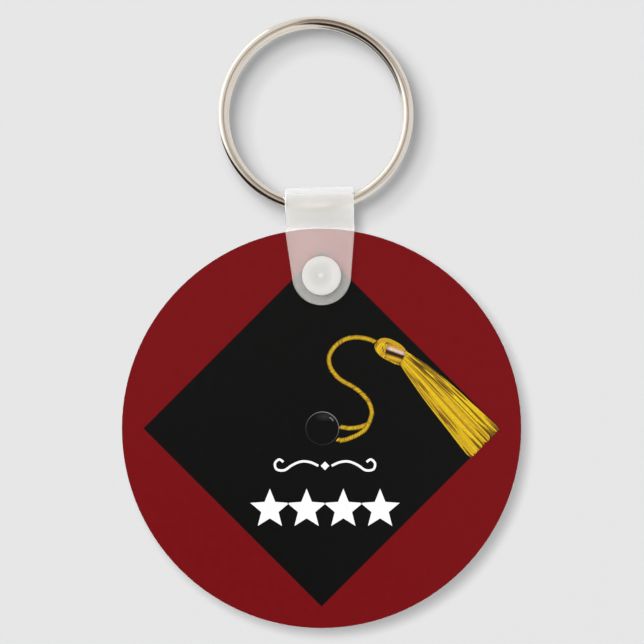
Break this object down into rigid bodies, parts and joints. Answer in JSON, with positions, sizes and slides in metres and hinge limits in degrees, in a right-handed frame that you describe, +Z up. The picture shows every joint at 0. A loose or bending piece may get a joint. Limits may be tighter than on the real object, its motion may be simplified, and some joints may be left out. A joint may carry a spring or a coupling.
{
  "type": "round key fob",
  "caption": "Flat round printed disc hung from a metal split ring by a folded translucent snap strap; the print shows a graduation cap with a gold tassel.",
  "frame": {"origin": "the point inside the top of the split ring where a hook carries the fob, straight above the middle of the disc", "axes": "+Z up along the hanging fob, +X to the right of the printed front, +Y away from the printed front, which faces -Y"},
  "size_m": [0.0572, 0.0058, 0.0876],
  "materials": {
    "nickel_plated_wire": "polished nickel plate",
    "strap_plastic": "milky, see-through, satin",
    "snap_plastic": "satin",
    "white_board": "satin edge",
    "white_coat": "gloss",
    "red_ink": "gloss",
    "black_ink": "gloss",
    "grey_ink": "gloss",
    "gold_ink": "gloss",
    "brown_ink": "gloss",
    "white_ink": "gloss"
  },
  "bodies": {
    "ring": {"split_ring": "nickel_plated_wire"},
    "strap": {"strap_rear_leaf": "strap_plastic", "snap_stud": "snap_plastic"},
    "front_leaf": {"strap_front_leaf": "strap_plastic", "snap_cap": "snap_plastic"},
    "disc": {"disc_board": "white_board", "front_gloss_coat": "white_coat", "rear_gloss_coat": "white_coat", "front_ground_ink": "red_ink", "rear_ground_ink": "red_ink", "front_cap_board_ink": "black_ink", "rear_cap_board_ink": "black_ink", "front_button_ink": "black_ink", "rear_button_ink": "black_ink", "front_button_rim_ink": "grey_ink", "rear_button_rim_ink": "grey_ink", "button_glint_ink": "grey_ink", "tassel_cord_ink": "gold_ink", "tassel_cord_end_ink": "gold_ink", "tassel_knot_ink": "gold_ink", "tassel_band_ink": "brown_ink", "tassel_skirt_ink": "gold_ink", "scroll_left_ink": "white_ink", "scroll_right_ink": "white_ink", "scroll_diamond_ink": "white_ink", "star_1_ink": "white_ink", "star_2_ink": "white_ink", "star_3_ink": "white_ink", "star_4_ink": "white_ink"}
  },
  "joints": [
    {"name": "strap_swing", "type": "hinge", "parent": "ring", "child": "strap", "pos_m": [-0.00028, 0, -0.0256], "axis": [0.9996, 0, 0.0279], "range_deg": [-110, 110]},
    {"name": "snap_open", "type": "hinge", "parent": "strap", "child": "front_leaf", "pos_m": [-0.00036, 0, -0.02283], "axis": [-0.9996, 0, -0.0279], "range_deg": [0, 150]},
    {"name": "disc_swivel", "type": "hinge", "parent": "strap", "child": "disc", "pos_m": [0, 0, -0.03558], "axis": [0, 1, 0], "range_deg": [-20, 20]}
  ]
}
